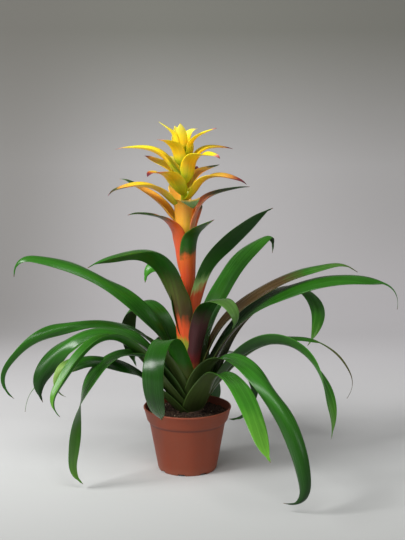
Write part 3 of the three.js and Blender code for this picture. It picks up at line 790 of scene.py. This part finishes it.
def lathe(profile, angles):
    """Corners and faces of a solid of turned profile points that start and end on the axis."""
    sides = len(angles)
    angles = np.radians(angles)
    rings = np.array([[(r * math.cos(a), r * math.sin(a), z) for a in angles] for r, z in profile[1:-1]])
    corners = np.concatenate([rings.reshape(-1, 3), [(0, 0, profile[0][1]), (0, 0, profile[-1][1])]])
    count = len(rings)
    faces = []
    for i in range(count - 1):
        for j in range(sides):
            k = (j + 1) % sides
            faces.append((i * sides + j, i * sides + k, (i + 1) * sides + k, (i + 1) * sides + j))
    first, last = count * sides, count * sides + 1
    for j in range(sides):
        k = (j + 1) % sides
        faces.append((first, k, j))
        faces.append((last, (count - 1) * sides + j, (count - 1) * sides + k))
    return corners, faces


def plant_lathe(name, profile, material, stands_for):
    """A turned piece on the plant's own axis."""
    corners, faces = lathe(profile, np.linspace(0, 360, CORE_SIDES, endpoint=False))
    mesh_piece(name, to_part_frame(corners), faces, material, stands_for)


def crown_material():
    """The heart that the leaves clasp: olive, browner towards the soil, with fine upright fibres."""
    material, tree, shader = new_material("crown_fibre")
    place = object_place(tree)
    fibre = noise(scaled(place, CROWN_FIBRES), 1.0, 3.0, 0.6)
    level = ranged(split(place)[2], (SOIL_TOP - 2) * MM, (SOIL_TOP + 25) * MM)
    colour = ramp(plus(level, between(fibre, -0.15, 0.15)), CROWN_TONES)
    fill_inputs(shader, {"Base Color": colour, "Roughness": 0.55, "Normal": bumped(fibre, 0.4, 0.0004)})
    return material


def crown_piece():
    profile = [(0, -CROWN_DEPTH), (CROWN_FOOT_RADIUS, -CROWN_DEPTH), (CROWN_RADIUS, 0), (CROWN_RADIUS, 3),
               (CROWN_TOP_RADIUS, INNER_START), (0, INNER_START)]
    plant_lathe("crown_heart", profile, crown_material(), ["crown"])


def pot_material():
    """Matt moulded plastic: uneven brown, fine grain, painted shade at the step, and dust on rim and foot.
    """
    material, tree, shader = new_material("pot_plastic")
    place = object_place(tree)
    height = split(place)[2]
    step, rim = SHOULDER_Z * MM, POT_HEIGHT * MM
    patches = placed_group(tree, PATCHES, {"Place": place, "Size": 24.0})
    runs = noise(scaled(place, POT_RUNS), 1.0, 3.0, 0.6)
    tone = plus(times(patches["Patch"], 0.7), times(runs, 0.3))
    colour = mixed(tree, ranged(tone, 0.3, 0.7), linear("pot brown"), linear("pot red"))
    # Painted shade: a dark maroon line on the flare under the rim band, where little light reaches
    line = times(ranged(height, step - 0.0018, step + 0.0002), ranged(height, step + 0.0028, step + 0.0008))
    colour = mixed(tree, times(line, 0.55), colour, linear("maroon"))
    rub = times(ranged(height, rim - 0.0018, rim - 0.0002), 0.3)
    rub = times(rub, ranged(runs, 0.35, 0.65))
    low = times(ranged(height, 0.014, 0.0), 0.25)
    dust = plus(maths("MAXIMUM", rub, low), times(patches["Speck"], 0.08))
    colour = mixed(tree, dust, colour, linear("pot dust"))
    grain = plus(noise(place, 1400.0, 2.0, 0.6), times(runs, 0.8))
    fill_inputs(shader, {
        "Base Color": colour, "Roughness": between(runs, 0.42, 0.62),
        "Normal": bumped(grain, 0.16, 0.0004), "Specular IOR Level": 0.3})
    return material


def away_from(angles, marks):
    """How far each angle lies from the nearest mark, in degrees."""
    return np.abs((angles[:, None] - marks[None, :] + 180) % 360 - 180).min(1)


def pot_piece():
    """The turned pot, with its foot ring lifted at the notches and its floor open at the drain slots."""
    slot_in, slot_out = SLOT_RADII
    profile = [
        # Underside: the plain disc in the middle, the floor with its slots, and the foot ring
        (0, 0), (15.6, 0), (16, 0.3), (17, FLOOR_UNDER), (slot_in, FLOOR_UNDER), (slot_out, FLOOR_UNDER),
        (34.5, 0), (38.6, 0), (FOOT_RADIUS + 0.4, 0.3),
        # Outside: the tapered body, the step to the rim band, and the rim
        (40.3, FLOOR_UNDER), (40.7, 4), (51.8, SHOULDER_Z - 0.6), (52.1, SHOULDER_Z), (55.2, 70.3),
        (55.5, 71), (59.3, 85.2), (59.8, 85.7), (RIM_RADIUS, 86.2), (RIM_RADIUS, 87.3), (59.7, 87.8),
        (59.1, POT_HEIGHT),
        # Inside: down the wall and over the floor
        (58.4, POT_HEIGHT), (57.9, 87.7), (57.7, 87), (50.2, SHOULDER_Z - 1), (39.2, 6.5), (38, FLOOR_TOP),
        (slot_out, FLOOR_TOP), (slot_in, FLOOR_TOP), (0, FLOOR_TOP)]
    centres = DRAIN_START + np.arange(DRAIN_COUNT) * 360 / DRAIN_COUNT
    edges = np.concatenate([centres - DRAIN_HALF_ANGLE, centres + DRAIN_HALF_ANGLE]) % 360
    even = np.arange(0, 360, POT_TURN_STEP)
    even = even[away_from(even, edges) > 0.5]
    angles = np.sort(np.concatenate([even, edges - NOTCH_SLOPE, edges + NOTCH_SLOPE]))
    notched = away_from(angles, centres) < DRAIN_HALF_ANGLE
    sides = len(angles)
    corners, faces = lathe(profile, angles)
    for ring, (radius, z) in enumerate(profile[1:-1]):
        if radius > slot_out and z < FLOOR_UNDER:
            corners[ring * sides:(ring + 1) * sides][notched, 2] = FLOOR_UNDER
    # The floor's faces over the slots give way to walls through it
    under = profile.index((slot_in, FLOOR_UNDER)) - 1
    over = profile.index((slot_out, FLOOR_TOP)) - 1
    kept = []
    for face in faces:
        floor = len(face) == 4 and min(face) // sides in (under, over)
        if not (floor and all(notched[k % sides] for k in face)):
            kept.append(face)
    low_in, low_out, top_out, top_in = [ring * sides for ring in (under, under + 1, over, over + 1)]
    for j in range(sides):
        k = (j + 1) % sides
        if notched[j] and notched[k]:
            kept.append((low_in + j, low_in + k, top_in + k, top_in + j))
            kept.append((low_out + k, low_out + j, top_out + j, top_out + k))
        elif notched[j] != notched[k]:
            m = j if notched[j] else k
            wall = (low_in + m, low_out + m, top_out + m, top_in + m)
            kept.append(wall if notched[k] else wall[::-1])
    piece = mesh_piece("pot_shell", corners * MM, kept, pot_material(), ["pot"])
    piece.data.set_sharp_from_angle(angle=math.radians(SHARP_ANGLE))


def soil_material():
    """Dark damp mix, from black crumbs through bark to pale grains, by the tone held at each corner."""
    material, tree, shader = new_material("soil_mix")
    place = object_place(tree)
    patches = placed_group(tree, PATCHES, {"Place": place, "Size": 90.0})
    tone = plus(attribute(tree, "tone"), between(patches["Patch"], -0.12, 0.12))
    grain = noise(place, 1800.0, 3.0, 0.65)
    colour = shaded(ramp(tone, SOIL_TONES), between(grain, 0.55, 1.45))
    fill_inputs(shader, {
        "Base Color": colour, "Roughness": between(patches["Patch"], 0.68, 0.98),
        "Normal": bumped(grain, 0.6, 0.0006), "Specular IOR Level": 0.25})
    return material


def soil_height(x, y):
    """The top of the soil: a low mound round the plant, with lumps of several sizes."""
    rng = np.random.default_rng(SOIL_SEED)
    lumps = np.zeros(np.shape(x))
    for size, depth, count in SOIL_LUMPS:
        for _ in range(count):
            angle, phase = rng.uniform(0, 2 * math.pi, 2)
            turn = 2 * math.pi / size * rng.uniform(0.7, 1.3)
            wave = np.sin(turn * (np.cos(angle) * x + np.sin(angle) * y) + phase)
            lumps = lumps + depth / math.sqrt(count) * 1.4 * wave
    away = np.hypot(x - PLANT_X, y)
    mound = SOIL_MOUND * np.exp(-(np.maximum(away - 18, 0) / 9) ** 2)
    return SOIL_TOP - 0.6 + lumps + mound - 1.2 * smooth(np.hypot(x, y), 42, 57)


def soil_bed(rng, material):
    steps = np.linspace(1, 0, SOIL_RINGS, endpoint=False)
    profile = [(0, SOIL_BOTTOM), (36.3, SOIL_BOTTOM), (49.3, SHOULDER_Z - 1)]
    profile += [(SOIL_RADIUS * u, SOIL_TOP) for u in steps] + [(0, SOIL_TOP)]
    corners, faces = lathe(profile, np.arange(0, 360, SOIL_TURN_STEP))
    top = corners[:, 2] > SOIL_TOP - 0.1
    corners[top, 2] = soil_height(corners[top, 0], corners[top, 1])
    bed = mesh_piece("soil_bed", corners * MM, faces, material, ["soil"])
    # Painted light: the sides of the lumps that face the key light on the left get a lighter tone
    lit_slope = soil_height(corners[:, 0] + 0.7, corners[:, 1]) - soil_height(corners[:, 0] - 0.7, corners[:, 1])
    give(bed, "tone", np.clip(0.22 + 0.12 * lit_slope + rng.normal(0, 0.05, len(corners)), 0, 0.6))


def drawn_tone(rng, shares):
    return rng.choice(list(shares), p=list(shares.values()))


def soil_crumbs(rng, material):
    """Crumbs of twelve uneven corners strewn on the bed, with a few patches of pale grains."""
    golden = (1 + 5 ** 0.5) / 2
    pairs = [(-1, golden), (1, golden), (-1, -golden), (1, -golden)]
    knobs = [(a, b, 0) for a, b in pairs] + [(0, a, b) for a, b in pairs] + [(b, 0, a) for a, b in pairs]
    knobs = np.array(knobs) / 1.9
    corners = len(knobs)
    sides = np.array([(0, 11, 5), (0, 5, 1), (0, 1, 7), (0, 7, 10), (0, 10, 11), (1, 5, 9), (5, 11, 4),
                      (11, 10, 2), (10, 7, 6), (7, 1, 8), (3, 9, 4), (3, 4, 2), (3, 2, 6), (3, 6, 8),
                      (3, 8, 9), (4, 9, 5), (2, 4, 11), (6, 2, 10), (8, 6, 7), (9, 8, 1)])
    crumbs = []
    for _ in range(CRUMBS):
        reach, angle = CRUMB_REACH * math.sqrt(rng.uniform()), rng.uniform(0, 2 * math.pi)
        size = rng.uniform(0.35, 0.8) if rng.uniform() < 0.8 else rng.uniform(0.8, 1.7)
        crumbs.append((reach * math.cos(angle), reach * math.sin(angle), size, drawn_tone(rng, CRUMB_TONES)))
    for x, y, spread, count in PALE_GRAINS:
        for _ in range(count):
            place = x + rng.normal(0, spread), y + rng.normal(0, spread * 0.7)
            crumbs.append((*place, rng.uniform(0.5, 1.15), rng.uniform(0.78, 0.95)))
    points, skins, marks = [], [], []
    for x, y, size, tone in crumbs:
        shape = knobs * size * rng.uniform(0.6, 1.25, 3) * rng.uniform(0.8, 1.15, (corners, 1))
        twirl = rng.uniform(0, 2 * math.pi)
        turned = np.stack([shape[:, 0] * math.cos(twirl) - shape[:, 1] * math.sin(twirl),
                           shape[:, 0] * math.sin(twirl) + shape[:, 1] * math.cos(twirl), shape[:, 2]], 1)
        height = soil_height(np.array(x), np.array(y)) + size * 0.25
        skins.append(sides + corners * len(points))
        points.append(turned + (x, y, height))
        marks.append(np.full(corners, tone))
    piece = mesh_piece("soil_crumbs", np.concatenate(points) * MM, np.concatenate(skins), material,
                       soft=False)
    give(piece, "tone", np.concatenate(marks))


def soil_fibres(rng, material):
    """Short curved fibres of three sides, lying on the bed with their middles raised."""
    points, skins, marks = [], [], []
    for number in range(FIBRES):
        reach, heading = FIBRE_REACH * math.sqrt(rng.uniform()), rng.uniform(0, 2 * math.pi)
        angle = rng.uniform(0, 2 * math.pi)
        u = np.linspace(-1, 1, FIBRE_PLACES)
        bend, half = rng.uniform(-0.9, 0.9), rng.uniform(2, 6.5)
        turn = heading + bend * u
        x = reach * math.cos(angle) + half * np.cumsum(np.cos(turn)) / FIBRE_PLACES
        y = reach * math.sin(angle) + half * np.cumsum(np.sin(turn)) / FIBRE_PLACES
        inside = np.minimum(1, (FIBRE_REACH + 3) / np.hypot(x, y))
        x, y = x * inside, y * inside
        z = soil_height(x, y) + 0.35 + rng.uniform(0, 1.1) * (1 - u ** 2)
        thick = rng.uniform(0.14, 0.36)
        ring = [np.stack([x - thick * np.sin(turn) * math.cos(a), y + thick * np.cos(turn) * math.cos(a),
                          z + thick * math.sin(a)], 1) for a in (0.5, 2.6, 4.7)]
        first = 3 * FIBRE_PLACES * number
        last = first + 3 * (FIBRE_PLACES - 1)
        points.append(np.stack(ring, 1).reshape(-1, 3))
        for i in range(first, last, 3):
            for j in range(3):
                k = (j + 1) % 3
                skins.append((i + j, i + k, i + 3 + k, i + 3 + j))
        skins += [(first, first + 2, first + 1), (last, last + 1, last + 2)]
        marks.append(np.full(3 * FIBRE_PLACES, drawn_tone(rng, FIBRE_TONES)))
    piece = mesh_piece("soil_fibres", np.concatenate(points) * MM, skins, material)
    give(piece, "tone", np.concatenate(marks))


def soil_pieces():
    rng = np.random.default_rng(SOIL_SEED + 1)
    material = soil_material()
    soil_bed(rng, material)
    soil_crumbs(rng, material)
    soil_fibres(rng, material)


def paper_material():
    """Matt studio paper with painted shade at the front, up the wall and at its sides, and clear from its
    back.
    """
    material, tree, shader = new_material("studio_paper")
    parts = split(object_place(tree))
    way = plus(parts[1], parts[2])
    # Painted shade towards the paper's left side, and on its right side high on the wall
    left = ranged(times(parts[0], -1.0), 0.05, 0.46)
    left = times(left, ranged(way, 0.3, 1.0, 0.06, 0.66))
    right = times(ranged(parts[0], 0.08, 0.5), ranged(way, 0.95, 1.5, 0.0, 0.22))
    colour = ramp(between(way, 0.2, 0.6), STUDIO_PAINTED_FALLOFF)
    colour = mixed(tree, plus(left, right), colour, linear("studio painted shade"))
    fill_inputs(shader, {"Base Color": colour, "Roughness": 0.85})
    # Clear from its back, so that the plant can be seen from behind and below
    rear = add_node(tree, "ShaderNodeNewGeometry").outputs["Backfacing"]
    clear = add_node(tree, "ShaderNodeBsdfTransparent").outputs[0]
    paper = add_node(tree, "ShaderNodeMixShader", {0: rear, 1: shader.outputs[0], 2: clear}).outputs[0]
    tree.links.new(paper, tree.nodes["Material Output"].inputs[0])
    return material


def soft_box(name, place, target, width, height, watts):
    light = bpy.data.lights.new(name, "AREA")
    light.shape = "RECTANGLE"
    light.size = width
    light.size_y = height
    light.energy = watts
    lamp = bpy.data.objects.new(name, light)
    lamp.location = place
    aim = Vector(np.subtract(target, place))
    lamp.rotation_euler = aim.to_track_quat("-Z", "Y").to_euler()
    bpy.context.scene.collection.objects.link(lamp)


def stage_and_light():
    profile = [(PAPER_FRONT, 0.0), (PAPER_TURN, 0.0)]
    for angle in np.radians(np.arange(5, 91, 5)):
        profile.append((PAPER_TURN + PAPER_BEND * math.sin(angle), PAPER_BEND * (1 - math.cos(angle))))
    profile.append((PAPER_TURN + PAPER_BEND, PAPER_TOP))
    corners = [(x, y, z) for y, z in profile for x in (-PAPER_SIDE, PAPER_SIDE)]
    faces = [(2 * i, 2 * i + 1, 2 * i + 3, 2 * i + 2) for i in range(len(profile) - 1)]
    mesh_object("studio_sweep", corners, faces, paper_material())
    world = bpy.data.worlds.new("studio")
    bpy.context.scene.world = world
    world.use_nodes = True
    sky = world.node_tree.nodes["Background"]
    fill_inputs(sky, {"Color": (1, 1, 1, 1), "Strength": WORLD_LIGHT})
    for light in LIGHTS:
        soft_box(**light)


def make_camera():
    data = bpy.data.cameras.new("photo_camera")
    data.sensor_fit = "AUTO"
    data.sensor_width = CAMERA_SENSOR
    data.lens = CAMERA_LENS
    camera = bpy.data.objects.new("photo_camera", data)
    camera.location = CAMERA_PLACE
    camera.rotation_euler = (math.radians(90 - CAMERA_DOWN), 0, 0)
    bpy.context.scene.collection.objects.link(camera)
    bpy.context.scene.camera = camera


make_camera()
stage_and_light()
build_leaves()
build_spike()
pot_piece()
soil_pieces()
crown_piece()
bpy.context.scene.view_settings.view_transform = "Standard"
